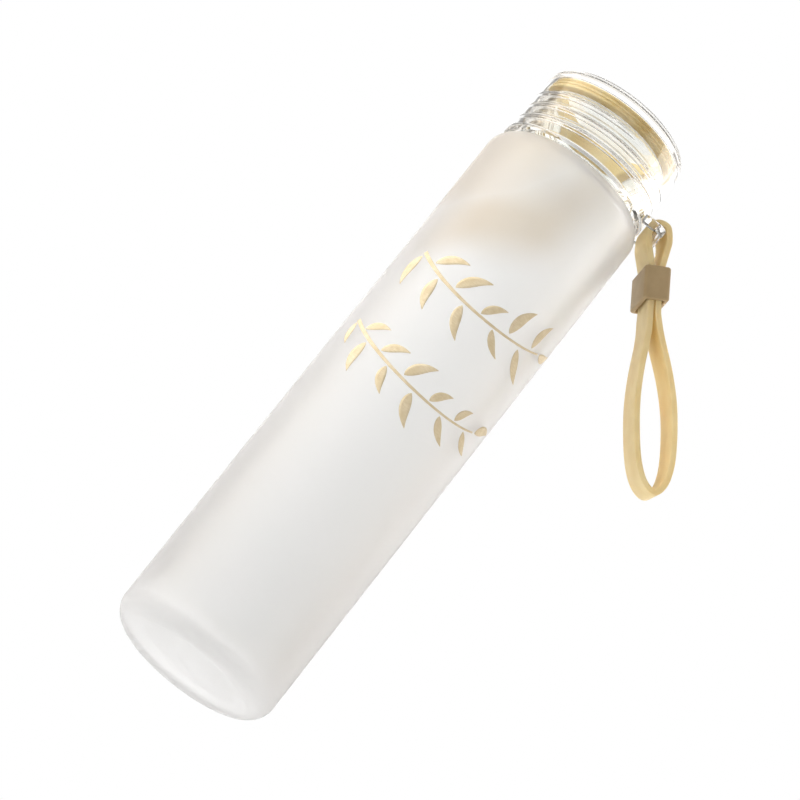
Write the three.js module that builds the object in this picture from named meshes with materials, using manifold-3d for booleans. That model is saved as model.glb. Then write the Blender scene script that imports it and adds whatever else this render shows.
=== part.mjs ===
// A single-wall glass water bottle, closed by a clear screw cap with a sealing ring inside it. A flat
// silicone wrist strap hangs from the cap's eyelet, and a slider block holds its two strands together.
// Millimetres, +Z up along the bottle's axis, origin at the centre of the base, +X towards the eyelet.
import * as THREE from "three";
import { mergeVertices } from "three/addons/utils/BufferGeometryUtils.js";
import Module from "manifold-3d";

const TURN = 2 * Math.PI;
const SIDES = 48; // flats round a turned piece

// Glass bottle
const BODY_R = 31; // just above the heel
const BODY_TOP_R = 30.7; // just under the shoulder: the mould has a slight draft
const HEEL_R = 7.5;
const SHOULDER_R = 7.4;
const SHOULDER_Z = 212.5; // where the straight wall ends
const WALL = 2.4;
const FLOOR = 7; // thickness of the glass under the water
const FLOOR_CORNER_R = 8;
const NECK_R = 24;
const BORE_R = 21.5;
const RIM_Z = 240.7;

// Screw thread, right-handed, between the neck and the cap
const PITCH = 5.3;
const RIDGE_FRONT_Z = 228.8; // height of the neck's lowest full turn, on the -Y side
const RIDGE_ROOT = 2.2; // width of the ridge where it meets the wall
const RIDGE_CREST = 1.1;
const NECK_RIDGE_R = 25.5;
const CAP_RIDGE_R = 24.6;
const NECK_RIDGE_Z = [225.6, 239.3]; // heights where the ridge starts and ends
const CAP_RIDGE_DROP = 2.2; // how far the cap's ridge lies under the neck's
const CAP_RIDGE_Z = [223, 237.6];
const RIDGE_TAPER = TURN / 10; // angle over which a ridge rises out of its wall
const SUNK = 0.4; // how far a ridge or an arm runs into the wall that it grows from

// Cap
const CAP_Z = 220.6; // lower rim
const CAP_TOP_Z = 250;
const CAP_R = 29; // at the lower rim
const CAP_TOP_R = 28; // under the rounded top edge
const CAP_EDGE_R = 5;
const CAP_BORE_R = 26.2;
const CAP_CEILING_Z = 245.2;

// Eyelet on the cap's lower rim: two arms and the bar that the strap turns on
const BAR = { x: 34.3, z: 223.3, thick: 3.4 };
const ARM_INSIDE = 8.5; // half the free width between the arms
const ARM_THICK = 2.3;
const EYELET_CORNER_R = 3.2;
const EYELET_EDGE_R = 0.7;

// Sealing ring, pushed up against the cap's ceiling
const RING = { inner: 20, outer: 25.6, bottom: 241, top: 244.9, chamfer: 0.5 };

// Wrist strap, one closed flat band. Distances are from the bar, along the strap.
const STRAP_OUT = THREE.MathUtils.degToRad(32.3); // angle away from the bottle's wall
const BAND_THICK = 2.15;
const BAND_WIDE = 16;
const BAND_STEPS = 116;
const WRAP_R = 3.7; // middle of the band where it goes round the bar
const STRAP_END = 89.2; // middle of the band at its lowest point
const HALF_SPREAD = [
  [2.5, 3.7],
  [6, 3.1],
  [12.4, 1.7],
  [16, 1.3],
  [25, 1.25],
  [31, 1.6],
  [37, 2.5],
  [48, 4.9],
  [58, 6.3],
  [68, 6.6],
  [78, 6],
  [84.5, 4.4],
  [88, 2.2],
]; // [distance, half the distance between the two strands' middles]
const DROOP_START = 28.4; // below here the loop leaves the slider's line
const DROOP_OUT = [0.103, -0.00025]; // outwards, per mm and per mm squared past DROOP_START
const DROOP_BACK = [0.0153, 0.00097]; // towards +Y, likewise

// Slider block
const SLIDER = { along: 12, across: 9.2, deep: 20, centre: 18.4, corner: 1.1 };
const SLOT = { across: 6.2, deep: 16.8 };

const wasm = await Module();
wasm.setup();

// The geometry's closed surface as a solid that can be joined to another.
function solid(geometry) {
  const bare = new THREE.BufferGeometry().setAttribute(
    "position",
    geometry.getAttribute("position"),
  );
  bare.setIndex(geometry.index);
  const merged = mergeVertices(bare, 1e-3);
  return new wasm.Manifold(
    new wasm.Mesh({
      numProp: 3,
      vertProperties: merged.attributes.position.array,
      triVerts: new Uint32Array(merged.index.array),
    }),
  );
}

function joined(...geometries) {
  const { vertProperties, triVerts } = geometries
    .map(solid)
    .reduce((all, next) => all.add(next))
    .getMesh();
  const geometry = new THREE.BufferGeometry()
    .setAttribute("position", new THREE.BufferAttribute(vertProperties, 3))
    .setIndex(new THREE.BufferAttribute(triVerts, 1));
  geometry.computeVertexNormals();
  return geometry;
}

// Points of an arc in a turned profile, from one angle in degrees to another.
function arc(r, z, radius, from, to, steps = 6) {
  return Array.from({ length: steps + 1 }, (_, i) => {
    const angle = THREE.MathUtils.degToRad(from + ((to - from) * i) / steps);
    return [r + radius * Math.cos(angle), z + radius * Math.sin(angle)];
  });
}

// A profile of [radius, height] pairs turned about the Z axis.
function turned(profile) {
  const points = profile.map(([r, z]) => new THREE.Vector2(r, z));
  return new THREE.LatheGeometry(points, SIDES).rotateX(TURN / 4);
}

// A surface through equal rings of points, either closed on itself or capped at both ends. Each ring
// runs anticlockwise as seen looking back along the sweep.
function swept(rings, closed) {
  const count = rings[0].length;
  const index = [];
  const spans = closed ? rings.length : rings.length - 1;
  for (let i = 0; i < spans; i++) {
    const near = i * count;
    const far = ((i + 1) % rings.length) * count;
    for (let a = 0; a < count; a++) {
      const b = (a + 1) % count;
      index.push(near + a, far + a, far + b, near + a, far + b, near + b);
    }
  }
  if (!closed) {
    const last = (rings.length - 1) * count;
    for (let a = 1; a < count - 1; a++) {
      index.push(0, a, a + 1, last, last + a + 1, last + a);
    }
  }
  const geometry = new THREE.BufferGeometry().setFromPoints(rings.flat());
  geometry.setIndex(index);
  geometry.computeVertexNormals();
  return geometry;
}

// A screw ridge on a wall of radius wallR, with its crest at crestR, inside or outside the wall.
function ridge(wallR, crestR, frontZ, [startZ, endZ]) {
  const outward = Math.sign(crestR - wallR);
  const footR = wallR - outward * SUNK;
  const angleAt = (z) => (TURN * (z - frontZ)) / PITCH - TURN / 4;
  const start = angleAt(startZ);
  const end = angleAt(endZ);
  const steps = Math.ceil(((end - start) / TURN) * SIDES);
  const rings = [];
  for (let i = 0; i <= steps; i++) {
    const angle = start + ((end - start) * i) / steps;
    const z = startZ + ((endZ - startZ) * i) / steps;
    const rise = Math.min(1, (angle - start) / RIDGE_TAPER, (end - angle) / RIDGE_TAPER);
    const topR = footR + outward * 0.1 + (crestR - footR - outward * 0.1) * rise;
    const foot = [footR, RIDGE_ROOT / 2];
    const top = [topR, RIDGE_CREST / 2];
    const [inner, outer] = outward > 0 ? [foot, top] : [top, foot];
    const at = (r, height) =>
      new THREE.Vector3(r * Math.cos(angle), r * Math.sin(angle), z + height);
    rings.push([
      at(inner[0], -inner[1]),
      at(outer[0], -outer[1]),
      at(outer[0], outer[1]),
      at(inner[0], inner[1]),
    ]);
  }
  return swept(rings, false);
}

function glassBottle() {
  const heelCentreR = BODY_R - HEEL_R;
  const shoulderCentreR = BODY_TOP_R - SHOULDER_R;
  const lipR = (NECK_R - BORE_R) / 2;
  const lipZ = RIM_Z - lipR;
  const innerShoulderZ = SHOULDER_Z + SHOULDER_R - WALL;
  const outside = [
    [0, 0],
    ...arc(heelCentreR, HEEL_R, HEEL_R, -90, 0),
    ...arc(shoulderCentreR, SHOULDER_Z, SHOULDER_R, 0, 78),
    [NECK_R, SHOULDER_Z + SHOULDER_R + 1.2],
  ];
  const lip = arc(NECK_R - lipR, lipZ, lipR, 0, 180);
  const inside = [
    [BORE_R, innerShoulderZ + 1],
    ...arc(shoulderCentreR, SHOULDER_Z, SHOULDER_R - WALL, 90, 0),
    ...arc(BODY_R - WALL - FLOOR_CORNER_R, FLOOR + FLOOR_CORNER_R, FLOOR_CORNER_R, 0, -90),
    [0, FLOOR],
  ];
  return joined(
    turned([...outside, ...lip, ...inside]),
    ridge(NECK_R, NECK_RIDGE_R, RIDGE_FRONT_Z, NECK_RIDGE_Z),
  );
}

// The eyelet's U, drawn in the XY plane: its arms end inside the cap's wall.
function eyelet() {
  const tip = BAR.x + BAR.thick / 2;
  const side = ARM_INSIDE + ARM_THICK;
  const root = Math.sqrt((CAP_BORE_R + SUNK) ** 2 - ARM_INSIDE ** 2);
  const corner = EYELET_CORNER_R;
  const outline = new THREE.Shape()
    .moveTo(root, -side)
    .lineTo(tip - corner, -side)
    .absarc(tip - corner, corner - side, corner, -TURN / 4, 0)
    .absarc(tip - corner, side - corner, corner, 0, TURN / 4)
    .lineTo(root, side)
    .lineTo(root, ARM_INSIDE)
    .lineTo(tip - BAR.thick, ARM_INSIDE)
    .lineTo(tip - BAR.thick, -ARM_INSIDE)
    .lineTo(root, -ARM_INSIDE);
  return new THREE.ExtrudeGeometry(outline, {
    depth: BAR.thick - 2 * EYELET_EDGE_R,
    bevelThickness: EYELET_EDGE_R,
    bevelSize: EYELET_EDGE_R,
    bevelOffset: -EYELET_EDGE_R,
    bevelSegments: 2,
    curveSegments: 5,
  }).translate(0, 0, BAR.z - BAR.thick / 2 + EYELET_EDGE_R);
}

function screwCap() {
  const shell = turned([
    [CAP_BORE_R, CAP_Z],
    [CAP_R, CAP_Z],
    ...arc(CAP_TOP_R - CAP_EDGE_R, CAP_TOP_Z - CAP_EDGE_R, CAP_EDGE_R, 0, 90),
    [0, CAP_TOP_Z],
    [0, CAP_CEILING_Z],
    [CAP_BORE_R, CAP_CEILING_Z],
    [CAP_BORE_R, CAP_Z],
  ]);
  const frontZ = RIDGE_FRONT_Z - CAP_RIDGE_DROP;
  return joined(shell, ridge(CAP_BORE_R, CAP_RIDGE_R, frontZ, CAP_RIDGE_Z), eyelet());
}

function capSeal() {
  const { inner, outer, bottom, top, chamfer } = RING;
  return turned([
    [inner + chamfer, bottom],
    [outer - chamfer, bottom],
    [outer, bottom + chamfer],
    [outer, top - chamfer],
    [outer - chamfer, top],
    [inner + chamfer, top],
    [inner, top - chamfer],
    [inner, bottom + chamfer],
    [inner + chamfer, bottom],
  ]);
}

// A point of the strap in its own frame, whose -Z runs down the strap and whose +X points outwards,
// from its distance below the bar, its offset across the loop and its place in the band's width.
function strapPoint(distance, across, y) {
  const past = Math.max(0, distance - DROOP_START);
  const out = DROOP_OUT[0] * past + DROOP_OUT[1] * past ** 2;
  const back = DROOP_BACK[0] * past + DROOP_BACK[1] * past ** 2;
  const slope = past > 0 ? DROOP_BACK[0] + 2 * DROOP_BACK[1] * past : 0;
  return new THREE.Vector3(across + out, y + back, slope * y - distance);
}

function wristStrap() {
  const wrap = [-60, -30, 0, 30, 60].map((degrees) => {
    const angle = THREE.MathUtils.degToRad(degrees);
    return [-WRAP_R * Math.cos(angle), WRAP_R * Math.sin(angle)];
  });
  const route = [
    ...wrap,
    ...HALF_SPREAD,
    [STRAP_END, 0],
    ...HALF_SPREAD.map(([distance, half]) => [distance, -half]).reverse(),
  ];
  const curve = new THREE.CatmullRomCurve3(
    route.map(([distance, across]) => new THREE.Vector3(distance, across, 0)),
    true,
  );
  const middles = curve.getSpacedPoints(BAND_STEPS).slice(0, -1);
  const rings = middles.map((middle, i) => {
    const before = middles.at(i - 1);
    const after = middles[(i + 1) % middles.length];
    const along = new THREE.Vector3().subVectors(after, before).normalize();
    const corner = (face, edge) =>
      strapPoint(
        middle.x - (along.y * face * BAND_THICK) / 2,
        middle.y + (along.x * face * BAND_THICK) / 2,
        (edge * BAND_WIDE) / 2,
      );
    return [corner(-1, -1), corner(1, -1), corner(1, 1), corner(-1, 1)];
  });
  return swept(rings, true);
}

function strapSlider() {
  const x = SLIDER.across / 2;
  const y = SLIDER.deep / 2;
  const corner = SLIDER.corner;
  const outline = new THREE.Shape()
    .moveTo(corner - x, -y)
    .absarc(x - corner, corner - y, corner, -TURN / 4, 0)
    .absarc(x - corner, y - corner, corner, 0, TURN / 4)
    .absarc(corner - x, y - corner, corner, TURN / 4, TURN / 2)
    .absarc(corner - x, corner - y, corner, TURN / 2, (TURN * 3) / 4);
  outline.holes.push(
    new THREE.Path()
      .moveTo(-SLOT.across / 2, -SLOT.deep / 2)
      .lineTo(-SLOT.across / 2, SLOT.deep / 2)
      .lineTo(SLOT.across / 2, SLOT.deep / 2)
      .lineTo(SLOT.across / 2, -SLOT.deep / 2),
  );
  return new THREE.ExtrudeGeometry(outline, {
    depth: SLIDER.along,
    bevelEnabled: false,
    curveSegments: 3,
  }).translate(0, 0, -SLIDER.centre - SLIDER.along / 2);
}

function piece(name, geometry, color, roughness, opacity = 1) {
  const material = new THREE.MeshStandardMaterial({
    color,
    roughness,
    metalness: 0,
    transparent: opacity < 1,
    opacity,
  });
  const mesh = new THREE.Mesh(geometry, material);
  mesh.name = name;
  return mesh;
}

const strap = new THREE.Group();
strap.position.set(BAR.x, 0, BAR.z);
strap.rotation.y = -STRAP_OUT;
strap.add(
  piece("wrist_strap", wristStrap(), 0xf3dfa4, 0.5),
  piece("strap_slider", strapSlider(), 0xb1966a, 0.55),
);

const bottle = new THREE.Group();
bottle.add(
  piece("glass_bottle", glassBottle(), 0xeeebe6, 0.5, 0.8),
  piece("screw_cap", screwCap(), 0xf5f6f6, 0.08, 0.35),
  piece("cap_seal", capSeal(), 0xe6cf96, 0.5),
  strap,
);

export default bottle;
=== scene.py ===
"""A frosted glass water bottle with a clear screw cap and a silicone wrist strap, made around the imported
model of the bottle. Metres, +Z up along the bottle's axis, origin at the centre of the base."""

import math

import bmesh
import bpy
from mathutils import Matrix, Vector


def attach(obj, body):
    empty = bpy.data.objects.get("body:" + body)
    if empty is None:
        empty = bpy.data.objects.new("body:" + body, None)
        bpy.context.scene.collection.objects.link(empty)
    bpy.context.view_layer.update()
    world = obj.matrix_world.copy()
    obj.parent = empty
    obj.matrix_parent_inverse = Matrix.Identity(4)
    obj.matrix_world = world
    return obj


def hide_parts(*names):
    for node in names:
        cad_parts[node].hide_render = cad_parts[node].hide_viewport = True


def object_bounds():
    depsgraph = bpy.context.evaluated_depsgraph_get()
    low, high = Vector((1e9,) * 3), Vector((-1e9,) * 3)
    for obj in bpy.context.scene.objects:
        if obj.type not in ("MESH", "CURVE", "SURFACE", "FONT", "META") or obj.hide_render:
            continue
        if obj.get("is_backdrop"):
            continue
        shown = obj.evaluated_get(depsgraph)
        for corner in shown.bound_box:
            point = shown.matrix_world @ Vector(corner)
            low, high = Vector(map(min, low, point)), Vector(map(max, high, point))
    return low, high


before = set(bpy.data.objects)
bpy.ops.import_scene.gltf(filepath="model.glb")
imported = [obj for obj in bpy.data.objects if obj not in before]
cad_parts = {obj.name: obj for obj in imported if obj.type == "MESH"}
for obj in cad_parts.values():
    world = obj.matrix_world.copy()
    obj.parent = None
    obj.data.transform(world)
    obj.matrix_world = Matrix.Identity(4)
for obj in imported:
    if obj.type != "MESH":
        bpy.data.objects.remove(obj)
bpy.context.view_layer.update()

# ---------------------------------------------------------------------------------------------------
# Studio. The bottle is seen from in front and a little below, leaning over to the right, through a
# long lens. It is lit as glass is: a bright, even surround, a soft box on each side for the gloss, and
# a pale paper floor under the foot.
MM = 0.001
scene = bpy.context.scene
EYE = Vector((0.0004, -1.9015, -0.5656))
EYE_PITCH = 19.83  # degrees above the horizon
EYE_ROLL = 38.44  # degrees
LENS, SENSOR = 270.5, 36.0  # mm
PAPER = "#EDECEA"
SURROUND = "#FFFFFF"
KEY_SIDE = Vector((-0.62, 0.45, 0.64))  # where the surround is brightest
DIM_SIDE, BRIGHT_SIDE = 0.78, 1.38
FRONT_SHARE = 0.45  # how much of that is left in the dark of the room before the bottle
CARD = "#2A211A"  # dark card, which draws the lines in clear glass
CARDS = [  # middle and half size of each card, as part of the unit sphere, and how dark it is
    ((0.0, 0.38, 0.86), (0.4, 0.24, 0.1), 1.0),
    ((0.0, -0.58, 0.44), (0.6, 0.26, 0.18), 0.95),
    ((-0.72, 0.52, 0.22), (0.34, 0.24, 0.3), 0.8),
]
CARD_EDGE = 0.04
WARM_WALL = "#FBE9D2"
WARM_FROM, WARM_TO = 0.55, 0.95  # how far to the side the surround turns warm
ROOM_FROM, ROOM_TO = -0.15, -0.7  # how far to the front the dark of the room begins and is full
FLOOR_HALF, FLOOR_GAP = 1.5, 0.0002  # half the paper's side, and its distance under the foot
FLOOR_GLOW, FOOT_GLOW, FOOT_GLOW_R = 0.15, 1.7, 0.032  # how far the floor is lit from below


def linear(code):
    """An sRGB hex colour as linear red, green, blue and alpha."""
    parts = [int(code[i : i + 2], 16) / 255 for i in (1, 3, 5)]
    return [p / 12.92 if p <= 0.04045 else ((p + 0.055) / 1.055) ** 2.4 for p in parts] + [1.0]


def add(tree, kind, inputs=None, stops=(), **settings):
    """A new node with its settings, a value, a node or a socket on each input, and a ramp's stops."""
    node = tree.nodes.new(kind)
    for i, (position, code) in enumerate(stops):
        node.color_ramp.elements[i].position = position
        node.color_ramp.elements[i].color = linear(code)
    for name, value in settings.items():
        setattr(node, name, value)
    for name, value in (inputs or {}).items():
        if isinstance(value, bpy.types.Node):
            value = value.outputs[0]
        if isinstance(value, bpy.types.NodeSocket):
            tree.links.new(value, node.inputs[name])
        else:
            node.inputs[name].default_value = value
    return node


def link(obj):
    """The object, now in the scene."""
    scene.collection.objects.link(obj)
    return obj


camera = link(bpy.data.objects.new("camera", bpy.data.cameras.new("camera")))
camera.data.lens, camera.data.sensor_width = LENS, SENSOR
camera.data.clip_start, camera.data.clip_end = 0.05, 20
camera.matrix_world = (
    Matrix.Translation(EYE)
    @ Matrix.Rotation(math.radians(90 + EYE_PITCH), 4, "X")
    @ Matrix.Rotation(math.radians(EYE_ROLL), 4, "Z")
)
scene.camera = camera
scene.view_settings.view_transform = "Standard"

world = bpy.data.worlds.new("surround")
scene.world = world
world.use_nodes = True
sky = world.node_tree
sky.nodes.clear()
direction = add(sky, "ShaderNodeTexCoord").outputs["Generated"]
toward = add(sky, "ShaderNodeSeparateXYZ", {0: direction})
to_key = add(sky, "ShaderNodeVectorMath", {0: direction, 1: KEY_SIDE}, operation="DOT_PRODUCT")
glow = add(
    sky,
    "ShaderNodeMapRange",
    {"Value": to_key.outputs["Value"], 1: -1.0, 2: 1.0, 3: DIM_SIDE, 4: BRIGHT_SIDE},
)
dark = add(sky, "ShaderNodeValue")  # none of it is dark yet
for middle, half_size, depth in CARDS:
    from_middle = add(sky, "ShaderNodeVectorMath", {0: direction, 1: middle}, operation="SUBTRACT")
    out_of = add(sky, "ShaderNodeVectorMath", {0: from_middle}, operation="ABSOLUTE")
    past = add(sky, "ShaderNodeVectorMath", {0: out_of, 1: half_size}, operation="SUBTRACT")
    sides = add(sky, "ShaderNodeSeparateXYZ", {0: past}).outputs
    wide = add(sky, "ShaderNodeMath", {0: sides["X"], 1: sides["Y"]}, operation="MAXIMUM")
    most = add(sky, "ShaderNodeMath", {0: wide, 1: sides["Z"]}, operation="MAXIMUM")
    card = add(sky, "ShaderNodeMapRange", {"Value": most, 1: CARD_EDGE, 2: 0.0, 3: 0.0, 4: depth})
    dark = add(sky, "ShaderNodeMath", {0: dark, 1: card}, operation="MAXIMUM")
seen = add(sky, "ShaderNodeBackground", {"Color": linear(SURROUND), "Strength": 1.0})
sideways = add(sky, "ShaderNodeMath", {0: toward.outputs["X"]}, operation="ABSOLUTE")
warming = [(WARM_FROM, SURROUND), (WARM_TO, WARM_WALL)]
walls = add(sky, "ShaderNodeValToRGB", {"Fac": sideways}, warming)
front = add(
    sky,
    "ShaderNodeMapRange",
    {"Value": toward.outputs["Y"], 1: ROOM_TO, 2: ROOM_FROM, 3: FRONT_SHARE, 4: 1.0},
)
power = add(sky, "ShaderNodeMath", {0: glow, 1: front}, operation="MULTIPLY")
light = add(sky, "ShaderNodeBackground", {"Color": walls.outputs["Color"], "Strength": power})
black_card = add(sky, "ShaderNodeBackground", {"Color": linear(CARD), "Strength": 1.0})
lit = add(sky, "ShaderNodeMixShader", {0: dark, 1: light, 2: black_card})
ray = add(sky, "ShaderNodeLightPath").outputs["Is Camera Ray"]
mixed = add(sky, "ShaderNodeMixShader", {0: ray, 1: lit, 2: seen})
add(sky, "ShaderNodeOutputWorld", {"Surface": mixed})


def soft_box(name, place, aim, width, height, watts, gloss, spread=180):
    """A flat lamp that faces a point, and shows as a gloss on the bottle only if asked to."""
    data = bpy.data.lights.new(name, "AREA")
    data.shape, data.size, data.size_y = "RECTANGLE", width, height
    data.energy, data.spread = watts, math.radians(spread)
    lamp = link(bpy.data.objects.new(name, data))
    facing = (Vector(aim) - Vector(place)).to_track_quat("-Z", "Y")
    lamp.matrix_world = Matrix.Translation(place) @ facing.to_matrix().to_4x4()
    lamp.visible_camera = False
    lamp.visible_glossy = lamp.visible_transmission = gloss


soft_box("soft_box_left", (-0.55, -0.14, 0.5), (0, 0, 0.18), 0.35, 0.6, 4.8, False)
soft_box("soft_box_right", (0.3, 0.05, 0.4), (0, 0, 0.235), 0.25, 0.25, 0.35, True)
soft_box("strap_beam", (0.2, 0.25, 0.2), (0.064, 0, 0.18), 0.04, 0.1, 0.02, False, 24)
soft_box("soft_box_behind", (0.5, 0.42, 0.36), (0.04, 0, 0.2), 0.35, 0.35, 0.35, True)

floor_mesh = bpy.data.meshes.new("paper_floor")
corners = ((-1, -1), (1, -1), (1, 1), (-1, 1))
floor_mesh.from_pydata([(x * FLOOR_HALF, y * FLOOR_HALF, 0) for x, y in corners], [], [(0, 1, 2, 3)])
paper = bpy.data.materials.new("matt_paper")
paper.use_nodes = True
sheet_tree = paper.node_tree
sheet_tree.nodes.clear()
matt = add(sheet_tree, "ShaderNodeBsdfDiffuse", {"Color": linear(PAPER)})
backlight = add(sheet_tree, "ShaderNodeEmission", {"Color": linear(PAPER), "Strength": FOOT_GLOW})
spot = add(sheet_tree, "ShaderNodeTexCoord").outputs["Object"]
from_foot = add(sheet_tree, "ShaderNodeVectorMath", {0: spot}, operation="LENGTH")
under_foot = add(
    sheet_tree,
    "ShaderNodeMapRange",
    {"Value": from_foot.outputs["Value"], 1: FOOT_GLOW_R, 2: FOOT_GLOW_R * 2, 3: 1.0, 4: FLOOR_GLOW},
)
sheet = add(sheet_tree, "ShaderNodeMixShader", {0: under_foot, 1: matt, 2: backlight})
clear = add(sheet_tree, "ShaderNodeBsdfTransparent")
under = add(sheet_tree, "ShaderNodeNewGeometry").outputs["Backfacing"]
one_way = add(sheet_tree, "ShaderNodeMixShader", {0: under, 1: sheet, 2: clear})
add(sheet_tree, "ShaderNodeOutputMaterial", {"Surface": one_way})
floor_mesh.materials.append(paper)
floor_mesh.transform(Matrix.Translation((0, 0, -FLOOR_GAP)))
link(bpy.data.objects.new("paper_floor", floor_mesh))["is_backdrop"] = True

# ---------------------------------------------------------------------------------------------------
# Glass bottle. One piece of soda-lime glass, blown in a mould, with the neck finish and its screw
# ridge pressed first. The outside is etched with acid up to the shoulder's top, and the neck and all
# of the inside are left bright.
BODY_R, BODY_TOP_R, HEEL_R = 31.0, 30.7, 7.5
SHOULDER_R, SHOULDER_Z, WALL = 7.4, 212.5, 2.4
FLOOR_Z, FLOOR_CORNER_R, BORE_CORNER_R = 7.0, 8.0, 1.8
NECK_R, BORE_R, RIM_Z, NECK_FILLET_R = 24.0, 21.5, 240.7, 1.0
FROST_Z = 218.4
PITCH, RIDGE_FRONT_Z = 5.3, 228.8
RIDGE_ROOT, RIDGE_CREST, NECK_RIDGE = 2.4, 0.7, 1.5
NECK_RIDGE_Z = (225.6, 238.2)
RIDGE_TAPER_Z = 0.55  # climb of the ridge while it rises out of the wall
THREAD_ROWS = 24  # rows of faces in one pitch of a screw wall
ROUND = 192
TRAPPED_DEPTH = 5.5  # bounces after which light inside a clear wall is let out of it
WAVE_DEPTH, SMEAR_DULL = 0.05, 0.02  # of a clear wall's skin
TURN = 2 * math.pi


def arc(r, z, radius, start, end, steps=10):
    """Points of an arc in a turned profile, from one angle in degrees to another."""
    angles = [math.radians(start + (end - start) * i / steps) for i in range(steps + 1)]
    return [(r + radius * math.cos(a), z + radius * math.sin(a)) for a in angles]


def straight(start, end, step):
    """Points along a straight stretch of a profile, about one step apart, without its two ends."""
    count = max(1, round(math.dist(start, end) / step))
    return [tuple(a + (b - a) * i / count for a, b in zip(start, end)) for i in range(1, count)]


def new_tree(name, sockets):
    """A geometry node tree with a geometry input and output and the named inputs."""
    tree = bpy.data.node_groups.new(name, "GeometryNodeTree")
    tree.interface.new_socket("Geometry", in_out="INPUT", socket_type="NodeSocketGeometry")
    tree.interface.new_socket("Geometry", in_out="OUTPUT", socket_type="NodeSocketGeometry")
    for label, kind in sockets.items():
        tree.interface.new_socket(label, in_out="INPUT", socket_type="NodeSocket" + kind)
    return tree, add(tree, "NodeGroupInput").outputs


def give_out(tree, geometry, material):
    """Ends a geometry node tree: everything is real mesh, in one material."""
    real = add(tree, "GeometryNodeRealizeInstances", {"Geometry": geometry})
    coated = add(tree, "GeometryNodeSetMaterial", {"Geometry": real, "Material": material})
    add(tree, "NodeGroupOutput", {"Geometry": coated})


def finished(obj):
    """The object with its modifiers' result as its own plain mesh."""
    graph = bpy.context.evaluated_depsgraph_get()
    made = bpy.data.meshes.new_from_object(obj.evaluated_get(graph))
    obj.modifiers.clear()
    obj.data = made
    made.name = obj.name
    return obj


def grown(name, base, *stages):
    """A plain mesh object made from a base mesh by node trees in turn, each with its input values."""
    obj = link(bpy.data.objects.new(name, base))
    for tree, values in stages:
        modifier = obj.modifiers.new(tree.name, "NODES")
        modifier.node_group = tree
        for socket in tree.interface.items_tree:
            if socket.in_out == "INPUT" and socket.name in values:
                modifier[socket.identifier] = values[socket.name]
    return finished(obj)


# Turning: a profile in the XZ plane is swept round the Z axis, and its ends on the axis are closed.
turning, given = new_tree("turning", {"Flats": "Int", "Material": "Material"})
rail = add(turning, "GeometryNodeCurvePrimitiveCircle", {"Resolution": given["Flats"], "Radius": 1.0})
profile = add(turning, "GeometryNodeMeshToCurve", {"Mesh": given["Geometry"]})
at = add(turning, "ShaderNodeSeparateXYZ", {0: add(turning, "GeometryNodeInputPosition")})
out = add(turning, "ShaderNodeMath", {0: at.outputs["X"], 1: 1.0}, operation="SUBTRACT")
down = add(turning, "ShaderNodeMath", {0: at.outputs["Z"], 1: -1.0}, operation="MULTIPLY")
flat = add(turning, "ShaderNodeCombineXYZ", {"X": out, "Y": down})
laid = add(turning, "GeometryNodeSetPosition", {"Geometry": profile, "Position": flat})
shell = add(turning, "GeometryNodeCurveToMesh", {"Curve": rail, "Profile Curve": laid})
closed = add(turning, "GeometryNodeMergeByDistance", {"Geometry": shell, "Distance": 1e-6})
facing = add(turning, "GeometryNodeFlipFaces", {"Mesh": closed})
smooth = add(turning, "GeometryNodeSetShadeSmooth", {"Geometry": facing})
give_out(turning, smooth, given["Material"])


def profile_mesh(name, *chains):
    """Chains of edges through (radius, height) points in millimetres, in the XZ plane."""
    mesh = bpy.data.meshes.new(name)
    places = [(r * MM, 0, z * MM) for chain in chains for r, z in chain]
    ends = {sum(len(chain) for chain in chains[: i + 1]) - 1 for i in range(len(chains))}
    mesh.from_pydata(places, [(i, i + 1) for i in range(len(places)) if i not in ends], [])
    return mesh


# The screw wall: the stretch of a turned wall between Bottom and Top is laid as rows that climb with
# the thread, so that its right-handed ridge runs clean. The ridge passes the front at Front, and dies
# out at Start and End. Height is below zero for a ridge on the inside of a wall.
screw, given = new_tree(
    "screw wall",
    {
        "Flats": "Int",
        "Rows": "Int",
        **dict.fromkeys(("Wall", "Bottom", "Top", "Height", "Front", "Pitch"), "Float"),
        **dict.fromkeys(("Root", "Crest", "Start", "End", "Taper"), "Float"),
        "Material": "Material",
    },
)
columns = add(screw, "ShaderNodeMath", {0: given["Flats"], 1: 1.0}, operation="ADD")
sheet = add(
    screw,
    "GeometryNodeMeshGrid",
    {"Size X": 1.0, "Size Y": 1.0, "Vertices X": columns, "Vertices Y": given["Rows"]},
)
on_sheet = add(screw, "ShaderNodeSeparateXYZ", {0: add(screw, "GeometryNodeInputPosition")})
turn = add(screw, "ShaderNodeMath", {0: on_sheet.outputs["X"], 1: 0.5}, operation="ADD")
share_up = add(screw, "ShaderNodeMath", {0: on_sheet.outputs["Y"], 1: 0.5}, operation="ADD")
last_row = add(screw, "ShaderNodeMath", {0: given["Rows"], 1: 1.0}, operation="SUBTRACT")
row = add(screw, "ShaderNodeMath", {0: share_up, 1: last_row}, operation="MULTIPLY")
step = add(screw, "ShaderNodeMath", {0: given["Pitch"], 1: float(THREAD_ROWS)}, operation="DIVIDE")
lowest = add(screw, "ShaderNodeMath", {0: given["Bottom"], 1: given["Pitch"]}, operation="SUBTRACT")
sloped = add(screw, "ShaderNodeMath", {0: turn, 1: given["Pitch"], 2: lowest}, operation="MULTIPLY_ADD")
raised = add(screw, "ShaderNodeMath", {0: row, 1: step, 2: sloped}, operation="MULTIPLY_ADD")
on_wall = add(screw, "ShaderNodeClamp", {"Value": raised, "Min": given["Bottom"], "Max": given["Top"]})
front_turn = add(screw, "ShaderNodeMath", {0: turn, 1: 0.25}, operation="ADD")
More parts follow.
